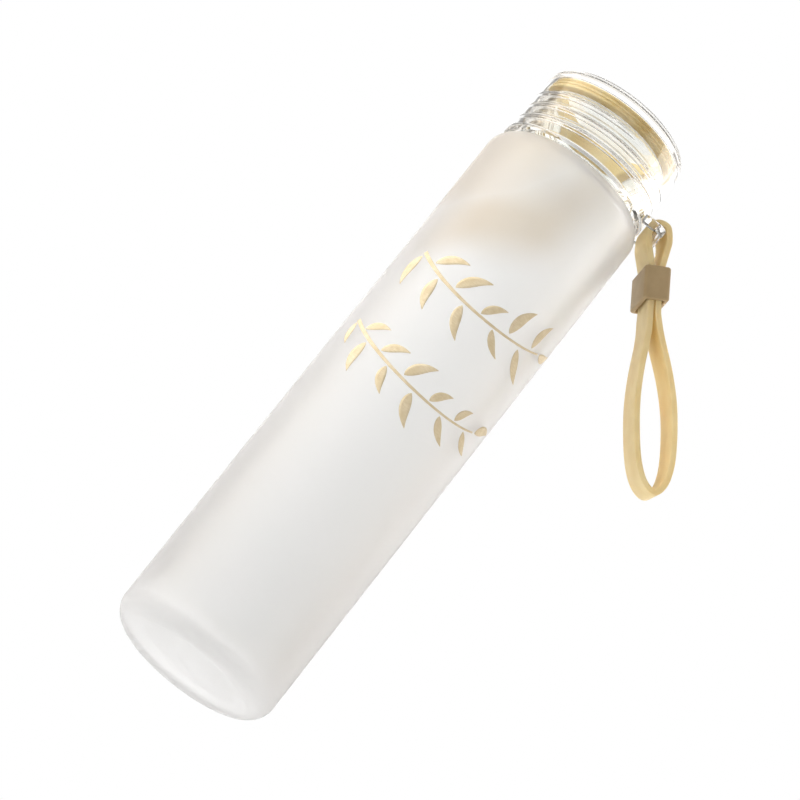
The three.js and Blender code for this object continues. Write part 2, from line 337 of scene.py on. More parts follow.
climb = add(
    screw,
    "ShaderNodeMath",
    {0: front_turn, 1: given["Pitch"], 2: given["Front"]},
    operation="MULTIPLY_ADD",
)
above = add(screw, "ShaderNodeMath", {0: on_wall, 1: climb}, operation="SUBTRACT")
half = add(screw, "ShaderNodeMath", {0: given["Pitch"], 1: 0.5}, operation="MULTIPLY")
less = add(screw, "ShaderNodeMath", {0: half, 1: -1.0}, operation="MULTIPLY")
off = add(screw, "ShaderNodeMath", {0: above, 1: half, 2: less}, operation="WRAP")
away = add(screw, "ShaderNodeMath", {0: off}, operation="ABSOLUTE")
rise = add(
    screw,
    "ShaderNodeMapRange",
    {"Value": away, 1: given["Root"], 2: given["Crest"], 3: 0.0, 4: 1.0},
    interpolation_type="SMOOTHSTEP",
)
middle = add(screw, "ShaderNodeMath", {0: on_wall, 1: off}, operation="SUBTRACT")
shaped = rise.outputs[0]
for end, towards in (("Start", "ADD"), ("End", "SUBTRACT")):
    full = add(screw, "ShaderNodeMath", {0: given[end], 1: given["Taper"]}, operation=towards)
    taper = add(
        screw,
        "ShaderNodeMapRange",
        {"Value": middle, 1: given[end], 2: full, 3: 0.0, 4: 1.0},
        interpolation_type="SMOOTHSTEP",
    )
    tapered = add(screw, "ShaderNodeMath", {0: shaped, 1: taper}, operation="MULTIPLY")
    shaped = tapered.outputs[0]
radius = add(
    screw, "ShaderNodeMath", {0: shaped, 1: given["Height"], 2: given["Wall"]}, operation="MULTIPLY_ADD"
)
angle = add(screw, "ShaderNodeMath", {0: turn, 1: TURN}, operation="MULTIPLY")
place = add(screw, "ShaderNodeCombineXYZ", {"Z": on_wall})
for axis, wave in (("X", "COSINE"), ("Y", "SINE")):
    turned = add(screw, "ShaderNodeMath", {0: angle}, operation=wave)
    out_to = add(screw, "ShaderNodeMath", {0: radius, 1: turned}, operation="MULTIPLY")
    screw.links.new(out_to.outputs[0], place.inputs[axis])
rolled = add(screw, "GeometryNodeSetPosition", {"Geometry": sheet, "Position": place})
inward = add(screw, "ShaderNodeMath", {0: given["Height"], 1: 0.0}, operation="LESS_THAN")
wall = add(screw, "GeometryNodeFlipFaces", {"Mesh": rolled, "Selection": inward})
joined = add(screw, "GeometryNodeJoinGeometry", {0: wall})
screw.links.new(given["Geometry"], joined.inputs[0])
sewn = add(screw, "GeometryNodeMergeByDistance", {"Geometry": joined, "Distance": 2e-6})
smooth = add(screw, "GeometryNodeSetShadeSmooth", {"Geometry": sewn})
give_out(screw, smooth, given["Material"])


def thread(wall_r, height, front, bottom, top, start, end, material):
    """The inputs of one screw wall, from sizes in millimetres."""
    return {
        "Flats": ROUND,
        "Rows": math.ceil((top - bottom) / PITCH * THREAD_ROWS) + THREAD_ROWS + 1,
        "Wall": wall_r * MM,
        "Bottom": bottom * MM,
        "Top": top * MM,
        "Height": height * MM,
        "Front": front * MM,
        "Pitch": PITCH * MM,
        "Root": RIDGE_ROOT / 2 * MM,
        "Crest": RIDGE_CREST / 2 * MM,
        "Start": start * MM,
        "End": end * MM,
        "Taper": RIDGE_TAPER_Z * MM,
        "Material": material,
    }


def glass_profile():
    """The bottle's section below and above the screw wall: up the outside, and down the inside."""
    heel_r, shoulder_r = BODY_R - HEEL_R, BODY_TOP_R - SHOULDER_R
    frost_angle = math.degrees(math.asin((FROST_Z - SHOULDER_Z) / SHOULDER_R))
    reach = SHOULDER_R + NECK_FILLET_R
    join_angle = math.degrees(math.acos((NECK_R + NECK_FILLET_R - shoulder_r) / reach))
    fillet_z = SHOULDER_Z + reach * math.sin(math.radians(join_angle))
    lip_r = (NECK_R - BORE_R) / 2
    outside = [(0, 0), *arc(heel_r, HEEL_R, HEEL_R, -90, 0, 14)]
    outside += straight(outside[-1], (BODY_TOP_R, SHOULDER_Z), 4)
    outside += arc(shoulder_r, SHOULDER_Z, SHOULDER_R, 0, frost_angle, 10)
    outside += arc(shoulder_r, SHOULDER_Z, SHOULDER_R, frost_angle, join_angle, 5)[1:]
    outside += arc(NECK_R + NECK_FILLET_R, fillet_z, NECK_FILLET_R, 180 + join_angle, 180, 5)[1:]
    lip = arc(NECK_R - lip_r, RIM_Z - lip_r, lip_r, 0, 180, 14)
    inner_top = SHOULDER_Z + SHOULDER_R - WALL
    inside = [*lip, (BORE_R, RIM_Z - lip_r - 8), (BORE_R, inner_top + 2)]
    turn_r = BORE_R + BORE_CORNER_R
    inside += arc(turn_r, inner_top + BORE_CORNER_R, BORE_CORNER_R, 180, 270, 5)[1:-1]
    inside += arc(shoulder_r, SHOULDER_Z, SHOULDER_R - WALL, 90, 0, 8)
    corner_r = BODY_R - WALL - FLOOR_CORNER_R
    corner = arc(corner_r, FLOOR_Z + FLOOR_CORNER_R, FLOOR_CORNER_R, 0, -90, 12)
    inside += straight(inside[-1], corner[0], 8) + corner + [(0, FLOOR_Z)]
    return outside, inside


def pattern(name):
    """A material with an empty node tree, and its tree."""
    material = bpy.data.materials.new(name)
    material.use_nodes = True
    material.node_tree.nodes.clear()
    return material, material.node_tree


# Acid-etched soda-lime glass: the fine pits scatter what comes through, so the body glows like milk
# and hides its inside, with a soft sheen. Painted shade lies on the front under the shoulder as a
# tilted warm beige band, and the colour is painted a shade darker towards the foot. The etch's grain
# is coarser than the real one, so that it shows.
SHADE_BAND_Z, SHADE_BAND_TILT, SHADE_BAND_HALF, SHADE_BAND_CORE = 189.0, 0.6, 24.0, 2.0
SHADE_BAND_X, SHADE_BAND_NEAR, SHADE_BAND_FAR = -7.0, 8.0, 27.0  # its middle, and where it is full and gone
SHADE_BAND_WANDER, WANDER_SIZE = 6.0, 45.0
UPPER_Z, UPPER_X, UPPER_SHARE = (172, 192), (2, -16), 0.55  # the fainter painted shade up to the shoulder
FRONT_Y = (14, -6)  # both fade in between these, from the back to the front
ETCH_GRAIN, PIT_DEPTH = 0.35, 0.01
etched, tree = pattern("acid_etched_glass")
where = add(tree, "ShaderNodeTexCoord").outputs["Object"]
axes = add(tree, "ShaderNodeSeparateXYZ", {0: where})
broad = {"Vector": where, "Scale": 1 / (WANDER_SIZE * MM), "Detail": 1.0}
drift = add(tree, "ShaderNodeTexNoise", broad)
wander = add(
    tree,
    "ShaderNodeMapRange",
    {"Value": drift.outputs["Fac"], 1: 0.3, 2: 0.7, 3: -SHADE_BAND_WANDER * MM, 4: SHADE_BAND_WANDER * MM},
)
tilted = add(
    tree, "ShaderNodeMath", {0: axes.outputs["X"], 1: SHADE_BAND_TILT, 2: wander}, operation="MULTIPLY_ADD"
)
level = add(tree, "ShaderNodeMath", {0: axes.outputs["Z"], 1: tilted}, operation="SUBTRACT")
spans = []
for value, centre, none_at, full_at in (
    (level, SHADE_BAND_Z, SHADE_BAND_HALF, SHADE_BAND_CORE),
    (axes.outputs["X"], SHADE_BAND_X, SHADE_BAND_FAR, SHADE_BAND_NEAR),
):
    offset = add(tree, "ShaderNodeMath", {0: value, 1: centre * MM}, operation="SUBTRACT")
    distance = add(tree, "ShaderNodeMath", {0: offset}, operation="ABSOLUTE")
    span = {"Value": distance, 1: none_at * MM, 2: full_at * MM, 3: 0.0, 4: 1.0}
    spans.append(add(tree, "ShaderNodeMapRange", span, interpolation_type="SMOOTHSTEP"))
# Painted shade: a tilted beige band under the shoulder and a fainter patch above it, both on the front
# only.
painted_shade_band = add(tree, "ShaderNodeMath", {0: spans[0], 1: spans[1]}, operation="MULTIPLY")
fades = {"Z": (UPPER_Z, UPPER_SHARE), "X": (UPPER_X, 1.0), "Y": (FRONT_Y, 1.0)}
upper, left_side, front_side = (
    add(
        tree,
        "ShaderNodeMapRange",
        {"Value": axes.outputs[axis], 1: none_at * MM, 2: full_at * MM, 3: 0.0, 4: most},
        interpolation_type="SMOOTHSTEP",
    )
    for axis, ((none_at, full_at), most) in fades.items()
)
painted_shade_top = add(tree, "ShaderNodeMath", {0: upper, 1: left_side}, operation="MULTIPLY")
painted_shades = add(tree, "ShaderNodeMath", {0: painted_shade_band, 1: painted_shade_top}, operation="MAXIMUM")
painted_shade_share = add(tree, "ShaderNodeMath", {0: painted_shades, 1: front_side}, operation="MULTIPLY")
# Painted shade: the white turns beige where the painted shade lies.
milk_and_painted_shade = add(tree, "ShaderNodeValToRGB", {"Fac": painted_shade_share}, [(0.0, "#FDFDFE"), (1.0, "#E0D3C1")])
# Painted shade: the colour darkens towards the foot, and is full white from 130 mm up.
painted_foot_shade = add(
    tree, "ShaderNodeValToRGB", {"Fac": axes.outputs["Z"]}, [(0.0, "#EFEFEF"), (0.13, "#FFFFFF")]
)
body = add(
    tree,
    "ShaderNodeMixRGB",
    {"Fac": 1.0, "Color1": milk_and_painted_shade.outputs["Color"], "Color2": painted_foot_shade.outputs["Color"]},
    blend_type="MULTIPLY",
)
pits = add(tree, "ShaderNodeTexNoise", {"Vector": where, "Scale": 1 / (ETCH_GRAIN * MM), "Detail": 3.0})
cloudy = add(
    tree, "ShaderNodeMapRange", {"Value": pits.outputs["Fac"], 1: 0.3, 2: 0.7, 3: 0.48, 4: 0.62}
)
frost = add(
    tree,
    "ShaderNodeBump",
    {"Strength": 0.35, "Distance": PIT_DEPTH * MM, "Height": pits.outputs["Fac"]},
)
etched_surface = add(
    tree,
    "ShaderNodeBsdfPrincipled",
    {
        "Base Color": body.outputs["Color"],
        "Roughness": cloudy,
        "IOR": 1.52,
        "Transmission Weight": 0.72,
        "Normal": frost,
    },
)
add(tree, "ShaderNodeOutputMaterial", {"Surface": etched_surface})


def clear_material(name, thin, thick, wave_mm, smear_mm, smear_detail, ior):
    """A bright, clear wall: a little wavy, with faint smears, in a tint that runs with the waves. It
    lights what is behind it, and lets go of light trapped in it."""
    material, tree = pattern(name)
    where = add(tree, "ShaderNodeTexCoord").outputs["Object"]
    coarse = {"Vector": where, "Scale": 1 / (wave_mm * MM), "Detail": 1.0}
    height = add(tree, "ShaderNodeTexNoise", coarse).outputs["Fac"]
    bump = {"Strength": 0.1, "Distance": WAVE_DEPTH * MM, "Height": height}
    wavy = add(tree, "ShaderNodeBump", bump)
    fine = {"Vector": where, "Scale": 1 / (smear_mm * MM), "Detail": smear_detail}
    smears = add(tree, "ShaderNodeTexNoise", fine).outputs["Fac"]
    dull = add(tree, "ShaderNodeMapRange", {"Value": smears, 1: 0.45, 2: 0.8, 3: 0.0, 4: SMEAR_DULL})
    trace = add(tree, "ShaderNodeValToRGB", {"Fac": height}, [(0.3, thin), (0.7, thick)])
    surface = add(
        tree,
        "ShaderNodeBsdfPrincipled",
        {
            "Base Color": trace.outputs["Color"],
            "Roughness": dull,
            "IOR": ior,
            "Transmission Weight": 1.0,
            "Normal": wavy,
        },
    )
    through = add(tree, "ShaderNodeBsdfTransparent", {"Color": linear("#F4F3F0")})
    path = add(tree, "ShaderNodeLightPath").outputs
    deep = {0: path["Ray Depth"], 1: TRAPPED_DEPTH}
    trapped = add(tree, "ShaderNodeMath", deep, operation="GREATER_THAN")
    freed = add(tree, "ShaderNodeMath", {0: trapped, 1: path["Is Shadow Ray"]}, operation="MAXIMUM")
    lit_through = add(tree, "ShaderNodeMixShader", {0: freed, 1: surface, 2: through})
    add(tree, "ShaderNodeOutputMaterial", {"Surface": lit_through})
    return material


# Fire-polished soda-lime glass: clear and bright. The blown wall is a little wavy and its skin has
# faint smears of scale from the mould, and it takes a trace of green where it is thick.
clear_glass = clear_material("fire_polished_glass", "#FEFEFD", "#F9FBF9", 11, 3, 4.0, 1.52)

outside, inside = glass_profile()
neck_wall = (NECK_R, NECK_RIDGE, RIDGE_FRONT_Z, outside[-1][1], inside[0][1], *NECK_RIDGE_Z)
bottle = grown(
    "glass_body",
    profile_mesh("glass_section", outside, inside),
    (turning, {"Flats": ROUND, "Material": clear_glass}),
    (screw, thread(*neck_wall, clear_glass)),
)
bottle.data.materials.clear()
bottle.data.materials.append(clear_glass)
bottle.data.materials.append(etched)
middle_of_wall = {
    "heel": ((BODY_R - HEEL_R) * MM, HEEL_R * MM, (HEEL_R - WALL / 2) * MM),
    "shoulder": ((BODY_TOP_R - SHOULDER_R) * MM, SHOULDER_Z * MM, (SHOULDER_R - WALL / 2) * MM),
}
for face in bottle.data.polygons:
    r, z = math.hypot(face.center.x, face.center.y), face.center.z
    heel, shoulder = (
        r > centre_r and math.dist((r, z), (centre_r, centre_z)) > reach
        for centre_r, centre_z, reach in middle_of_wall.values()
    )
    outside = z < FLOOR_Z / 2 * MM or r > (BODY_TOP_R - WALL / 2) * MM
    outside = outside or (z < HEEL_R * MM and heel) or (z > SHOULDER_Z * MM and shoulder)
    face.material_index = 1 if outside and z < FROST_Z * MM else 0
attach(bottle, "bottle")
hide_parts("glass_bottle")

# ---------------------------------------------------------------------------------------------------
# Printed motif. Two leafy sprigs, screen-printed in one tan ink round the front of the glass and
# fired on, as if drawn with a loaded brush.
INK_THICK, INK_LIFT = 0.05, 0.03
STEM_WIDTH, STEM_TIP_WIDTH = 1.5, 0.6
LEAF_WIDTH = 3.3
STEM_STEPS = 40
SPLAY = 52.0  # degrees between a leaf and its stem
SHORTEST, LONGEST = 0.75, 1.12  # share of a leaf's named length
DRY_SIZE, STREAK_SIZE, STREAK_RUN = 3.2, 1.5, 6.0  # of the marks the brush leaves
SPRIGS = [  # foot, middle and tip of each stem: distance round the wall from the front, and height
    {"stem": [(-27, 160), (2, 150), (33, 158)], "leaves": 11, "leaf": 13.5, "seed": 3},
    {"stem": [(-33, 128), (0, 115), (31, 121)], "leaves": 12, "leaf": 12.5, "seed": 8},
]

brushed, given = new_tree(
    "brushed sprig",
    {
        "Leaves": "Int",
        **dict.fromkeys(("Leaf Length", "Leaf Width", "Stem Width", "Tip Width", "Splay"), "Float"),
        "Seed": "Int",
        **dict.fromkeys(("Foot Radius", "Top Radius", "Foot Height", "Top Height"), "Float"),
        "Thickness": "Float",
        "Material": "Material",
    },
)
edge = {"Start": (-0.5, 0, 0), "End": (0.5, 0, 0)}
whole_nib = add(brushed, "GeometryNodeCurvePrimitiveLine", edge)
nib = add(brushed, "GeometryNodeResampleCurve", {"Curve": whole_nib, "Count": 5})
along = add(brushed, "GeometryNodeSplineParameter").outputs["Factor"]
drawn = add(brushed, "GeometryNodeMeshToCurve", {"Mesh": given["Geometry"]})
level = add(brushed, "GeometryNodeSetCurveNormal", {"Curve": drawn}, mode="Z_UP")
widths = {"Value": along, 3: given["Stem Width"], 4: given["Tip Width"]}
thinning = add(brushed, "ShaderNodeMapRange", widths)
drag = {"Curve": level, "Profile Curve": nib, "Scale": thinning}
stem = add(brushed, "GeometryNodeCurveToMesh", drag)
# One leaf is a single curved stroke of unit length that swells quickly and dies out slowly.
stroke = add(
    brushed,
    "GeometryNodeCurveQuadraticBezier",
    {"Resolution": 16, "Start": (0.12, 0, 0), "Middle": (0.55, 0.2, 0), "End": (1.0, 0.02, 0)},
)
stroke_level = add(brushed, "GeometryNodeSetCurveNormal", {"Curve": stroke}, mode="Z_UP")
eased = add(brushed, "ShaderNodeMath", {0: along, 1: 0.75}, operation="POWER")
swing = add(brushed, "ShaderNodeMath", {0: eased, 1: math.pi}, operation="MULTIPLY")
swell = add(brushed, "ShaderNodeMath", {0: swing}, operation="SINE")
sides = {0: given["Leaf Width"], 1: given["Leaf Length"]}
slim = add(brushed, "ShaderNodeMath", sides, operation="DIVIDE")
press = add(brushed, "ShaderNodeMath", {0: swell, 1: slim, 2: 0.015}, operation="MULTIPLY_ADD")
drag = {"Curve": stroke_level, "Profile Curve": nib, "Scale": press}
leaf = add(brushed, "GeometryNodeCurveToMesh", drag)
# The leaves stand in turn on either side of the stem, and the last one ends it.
nodes_on_stem = add(brushed, "GeometryNodeCurveToPoints", {"Curve": level, "Count": given["Leaves"]})
which = add(brushed, "GeometryNodeInputIndex").outputs[0]
odd = add(brushed, "ShaderNodeMath", {0: which, 1: 2.0}, operation="MODULO")
side = add(brushed, "ShaderNodeMath", {0: odd, 1: 2.0, 2: -1.0}, operation="MULTIPLY_ADD")
lengths = {2: SHORTEST, 3: LONGEST, "Seed": given["Seed"]}
unsteady = add(brushed, "FunctionNodeRandomValue", lengths, data_type="FLOAT")
last = add(brushed, "ShaderNodeMath", {0: given["Leaves"], 1: 1.5}, operation="SUBTRACT")
end = add(brushed, "ShaderNodeMath", {0: which, 1: last}, operation="GREATER_THAN")
not_end = add(brushed, "ShaderNodeMath", {0: 1.0, 1: end}, operation="SUBTRACT")
lean = add(brushed, "ShaderNodeMath", {0: side, 1: given["Splay"]}, operation="MULTIPLY")
leaned = add(brushed, "ShaderNodeMath", {0: lean, 1: unsteady.outputs[1]}, operation="MULTIPLY")
turned = add(brushed, "ShaderNodeMath", {0: leaned, 1: not_end}, operation="MULTIPLY")
heading = add(brushed, "ShaderNodeSeparateXYZ", {0: add(brushed, "GeometryNodeInputTangent")})
tangent = add(
    brushed, "ShaderNodeMath", {0: heading.outputs["Y"], 1: heading.outputs["X"]}, operation="ARCTAN2"
)
course = add(brushed, "GeometryNodeCaptureAttribute", {"Geometry": level})
course.capture_items.new("FLOAT", "Course")
brushed.links.new(tangent.outputs[0], course.inputs["Course"])
brushed.links.new(course.outputs["Geometry"], nodes_on_stem.inputs["Curve"])
yaw = add(brushed, "ShaderNodeMath", {0: course.outputs["Course"], 1: turned}, operation="ADD")
attitude = add(brushed, "ShaderNodeCombineXYZ", {"Z": yaw})
reach = add(
    brushed, "ShaderNodeMath", {0: unsteady.outputs[1], 1: given["Leaf Length"]}, operation="MULTIPLY"
)
mirrored = add(brushed, "ShaderNodeMath", {0: reach, 1: side}, operation="MULTIPLY")
size = add(brushed, "ShaderNodeCombineXYZ", {"X": reach, "Y": mirrored, "Z": 1.0})
growth = {"Points": nodes_on_stem, "Instance": leaf, "Rotation": attitude, "Scale": size}
leaves = add(brushed, "GeometryNodeInstanceOnPoints", growth)
whole = add(brushed, "GeometryNodeJoinGeometry", {0: stem})
brushed.links.new(leaves.outputs[0], whole.inputs[0])
flat_print = add(brushed, "GeometryNodeRealizeInstances", {"Geometry": whole})
# A mirrored leaf faces down, so each face is turned to look up before the ink gets its thickness.
normal_up = add(brushed, "ShaderNodeSeparateXYZ", {0: add(brushed, "GeometryNodeInputNormal")})
upside_down = add(brushed, "ShaderNodeMath", {0: normal_up.outputs["Z"], 1: 0.0}, operation="LESS_THAN")
face_up = add(brushed, "GeometryNodeFlipFaces", {"Mesh": flat_print, "Selection": upside_down})
film = {"Mesh": face_up, "Offset": (0, 0, 1), "Offset Scale": given["Thickness"], "Individual": False}
thick = add(brushed, "GeometryNodeExtrudeMesh", film)
under_side = add(brushed, "GeometryNodeFlipFaces", {"Mesh": face_up})
both = add(brushed, "GeometryNodeJoinGeometry", {0: under_side})
brushed.links.new(thick.outputs[0], both.inputs[0])
ink_film = add(brushed, "GeometryNodeMergeByDistance", {"Geometry": both, "Distance": 2e-6})
# The flat print is rolled round the wall, whose radius shrinks a little towards the shoulder.
spot = add(brushed, "ShaderNodeSeparateXYZ", {0: add(brushed, "GeometryNodeInputPosition")})
wall = add(
    brushed,
    "ShaderNodeMapRange",
    {
        "Value": spot.outputs["Y"],
        1: given["Foot Height"],
        2: given["Top Height"],
        3: given["Foot Radius"],
        4: given["Top Radius"],
    },
)
bend = add(brushed, "ShaderNodeMath", {0: spot.outputs["X"], 1: wall}, operation="DIVIDE")
out_to = add(brushed, "ShaderNodeMath", {0: wall, 1: spot.outputs["Z"]}, operation="ADD")
sine = add(brushed, "ShaderNodeMath", {0: bend}, operation="SINE")
cosine = add(brushed, "ShaderNodeMath", {0: bend}, operation="COSINE")
to_right = add(brushed, "ShaderNodeMath", {0: out_to, 1: sine}, operation="MULTIPLY")
to_front = add(brushed, "ShaderNodeMath", {0: out_to, 1: cosine}, operation="MULTIPLY")
forward = add(brushed, "ShaderNodeMath", {0: to_front, 1: -1.0}, operation="MULTIPLY")
rolled = add(brushed, "ShaderNodeCombineXYZ", {"X": to_right, "Y": forward, "Z": spot.outputs["Y"]})
wrapped = add(brushed, "GeometryNodeSetPosition", {"Geometry": ink_film, "Position": rolled})
give_out(brushed, wrapped, given["Material"])

# Ceramic ink: a chalky tan, thinner and paler where the brush ran dry, with a faint satin sheen.
ink, tree = pattern("fired_ceramic_ink")
where = add(tree, "ShaderNodeTexCoord").outputs["Object"]
dry = add(tree, "ShaderNodeTexNoise", {"Vector": where, "Scale": 1 / (DRY_SIZE * MM), "Detail": 4.0})
bristle = add(tree, "ShaderNodeMapping", {"Vector": where, "Scale": (1.0, 1.0, STREAK_RUN)})
streak = add(tree, "ShaderNodeTexNoise", {"Vector": bristle, "Scale": 1 / (STREAK_SIZE * MM)})
loaded = add(
    tree, "ShaderNodeMath", {0: dry.outputs["Fac"], 1: streak.outputs["Fac"]}, operation="MULTIPLY"
)
shade = add(tree, "ShaderNodeValToRGB", {"Fac": loaded}, [(0.1, "#CFBD97"), (0.42, "#E4D6BA")])
grit = add(tree, "ShaderNodeBump", {"Strength": 0.25, "Distance": 0.02 * MM, "Height": streak})
inked_surface = add(
    tree,
    "ShaderNodeBsdfPrincipled",
    {"Base Color": shade.outputs["Color"], "Roughness": 0.6, "IOR": 1.5, "Normal": grit},
)
add(tree, "ShaderNodeOutputMaterial", {"Surface": inked_surface})

for number, sprig in enumerate(SPRIGS, 1):
    foot, middle, tip = (Vector((u, v, 0)) * MM for u, v in sprig["stem"])
    steps = [i / STEM_STEPS for i in range(STEM_STEPS + 1)]
    pull = middle * 2 - (foot + tip) / 2
    bow = [foot * (1 - t) ** 2 + pull * 2 * t * (1 - t) + tip * t * t for t in steps]
    line = bpy.data.meshes.new("stem")
    line.from_pydata(bow, [(i, i + 1) for i in range(len(bow) - 1)], [])
    print_piece = grown(
        f"printed_sprig_{number}",
        line,
        (
            brushed,
            {
                "Leaves": sprig["leaves"],
                "Leaf Length": sprig["leaf"] * MM,
                "Leaf Width": LEAF_WIDTH * MM,
                "Stem Width": STEM_WIDTH * MM,
                "Tip Width": STEM_TIP_WIDTH * MM,
                "Splay": math.radians(SPLAY),
                "Seed": sprig["seed"],
                "Foot Radius": (BODY_R + INK_LIFT) * MM,
                "Top Radius": (BODY_TOP_R + INK_LIFT) * MM,
                "Foot Height": HEEL_R * MM,
                "Top Height": SHOULDER_Z * MM,
                "Thickness": INK_THICK * MM,
                "Material": ink,
            },
        ),
    )
    print_piece.data.materials.clear()
    print_piece.data.materials.append(ink)
    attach(print_piece, "bottle")

# ---------------------------------------------------------------------------------------------------
# Screw cap. Injection-moulded clear styrene copolymer, with its thread inside the skirt and the
# strap's eyelet grown out of the lower rim. The core pin leaves a bright, slightly wavy bore.
CAP_Z, CAP_TOP_Z, CAP_R, CAP_TOP_R = 220.6, 250.0, 29.0, 28.0
CAP_EDGE_R, CAP_BORE_R, CAP_CEILING_Z = 5.0, 26.2, 245.2
CAP_RIM_R, CAP_INNER_RIM_R, CAP_CEILING_R = 0.7, 0.4, 0.8
CAP_RIDGE, CAP_RIDGE_DROP, CAP_RIDGE_Z = 1.6, 2.2, (223.0, 237.6)
CAP_SCREW_TOP_Z = 239.5
BAR_X, BAR_Z, BAR_THICK = 34.3, 223.3, 3.4
ARM_INSIDE, ARM_THICK, EYELET_CORNER_R, EYELET_EDGE_R = 8.5, 2.3, 3.2, 0.9
SUNK = 0.4  # how far the arms run into the skirt


def cap_profile():
    """The cap's section but for the screw wall: from the bore's rim out, up, and down to the wall."""
    rim = arc(CAP_R - CAP_RIM_R, CAP_Z + CAP_RIM_R, CAP_RIM_R, -90, 0, 6)
    shoulder = arc(CAP_TOP_R - CAP_EDGE_R, CAP_TOP_Z - CAP_EDGE_R, CAP_EDGE_R, 0, 90, 14)
    ceiling = arc(CAP_BORE_R - CAP_CEILING_R, CAP_CEILING_Z - CAP_CEILING_R, CAP_CEILING_R, 90, 0, 5)
    mouth = arc(CAP_BORE_R + CAP_INNER_RIM_R, CAP_Z + CAP_INNER_RIM_R, CAP_INNER_RIM_R, 180, 270, 5)
    skirt = straight(rim[-1], shoulder[0], 4)
    top = [(0, CAP_TOP_Z), (0, CAP_CEILING_Z)]
    return [*mouth, *rim, *skirt, *shoulder, *top, *ceiling, (CAP_BORE_R, CAP_SCREW_TOP_Z)]


def eyelet_mesh():
    """The eyelet's U as a plain prism, with its arms' ends inside the skirt."""
    tip, half = BAR_X + BAR_THICK / 2, ARM_INSIDE + ARM_THICK
    root = math.sqrt((CAP_BORE_R + SUNK) ** 2 - ARM_INSIDE**2)
    corner = tip - EYELET_CORNER_R
    outline = [(root, -half), *arc(corner, EYELET_CORNER_R - half, EYELET_CORNER_R, -90, 0, 8)]
    outline += [*arc(corner, half - EYELET_CORNER_R, EYELET_CORNER_R, 0, 90, 8), (root, half)]
    outline += [(root, ARM_INSIDE), (tip - BAR_THICK, ARM_INSIDE)]
    outline += [(tip - BAR_THICK, -ARM_INSIDE), (root, -ARM_INSIDE)]
    shape = bmesh.new()
    low = [shape.verts.new((x * MM, y * MM, (BAR_Z - BAR_THICK / 2) * MM)) for x, y in outline]
    floor_face = shape.faces.new(low)
    raised = bmesh.ops.extrude_face_region(shape, geom=[floor_face])["geom"]
    lifted = [v for v in raised if isinstance(v, bmesh.types.BMVert)]
    bmesh.ops.translate(shape, verts=lifted, vec=(0, 0, BAR_THICK * MM))
    bmesh.ops.recalc_face_normals(shape, faces=shape.faces)
    mesh = bpy.data.meshes.new("eyelet")
    shape.to_mesh(mesh)
    shape.free()
    return mesh


# Clear styrene: colourless, glassy and brittle, with sharp highlights, a dark line at each step of
# the thread, and a faint ripple from the moulding.
styrene = clear_material("clear_moulded_styrene", "#FDFDFC", "#FDFDFC", 7, 2.5, 5.0, 1.57)

low, high = CAP_Z + CAP_INNER_RIM_R, CAP_SCREW_TOP_Z
cap_wall = (CAP_BORE_R, -CAP_RIDGE, RIDGE_FRONT_Z - CAP_RIDGE_DROP, low, high, *CAP_RIDGE_Z)
cap = grown(
    "clear_cap",
    profile_mesh("cap_section", cap_profile()),
    (turning, {"Flats": ROUND, "Material": styrene}),
    (screw, thread(*cap_wall, styrene)),
)
eyelet = link(bpy.data.objects.new("eyelet", eyelet_mesh()))
rounding = eyelet.modifiers.new("rounding", "BEVEL")
rounding.width, rounding.segments = EYELET_EDGE_R * MM, 5
rounding.limit_method, rounding.angle_limit = "ANGLE", math.radians(40)
finished(eyelet)
union = cap.modifiers.new("union", "BOOLEAN")
union.operation, union.solver, union.object = "UNION", "EXACT", eyelet
finished(cap)
bpy.data.objects.remove(eyelet)
cap.data.materials.clear()
cap.data.materials.append(styrene)
cap.data.shade_smooth()
cap.data.set_sharp_from_angle(angle=math.radians(35))
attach(cap, "cap")
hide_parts("screw_cap")

# ---------------------------------------------------------------------------------------------------
# Cap seal. A ring of tan silicone, moulded with two lips, pressed up against the cap's ceiling, where
# it closes on the glass rim.
RING_INNER, RING_OUTER, RING_LOW, RING_HIGH = 20.0, 25.6, 241.0, 244.9
RING_EDGE_R, LIP_GROOVE, GROOVES_Z = 0.5, 0.35, (242.2, 243.5)
CLOUDS, GRAIN_DEPTH, GLOW_REACH = 9.0, 0.05, 1.5  # of the silicone, in millimetres
SHEEN_SPREAD = 0.08  # how far its roughness varies either way


def ring_profile():
    """The ring's section, anticlockwise from its inner lower corner, with two grooves outside."""
    corners = [(RING_INNER, RING_LOW, 180), (RING_OUTER, RING_LOW, 270)]
    corners += [(RING_OUTER, RING_HIGH, 0), (RING_INNER, RING_HIGH, 90)]
    section = []
    for r, z, start in corners:
        centre_r = r + (RING_EDGE_R if r == RING_INNER else -RING_EDGE_R)
        centre_z = z + (RING_EDGE_R if z == RING_LOW else -RING_EDGE_R)
        section += arc(centre_r, centre_z, RING_EDGE_R, start, start + 90, 5)
        if (r, z) == (RING_OUTER, RING_LOW):
            for level_z in GROOVES_Z:
                section += arc(RING_OUTER, level_z, LIP_GROOVE, 270, 90, 6)
    return section + section[:1]


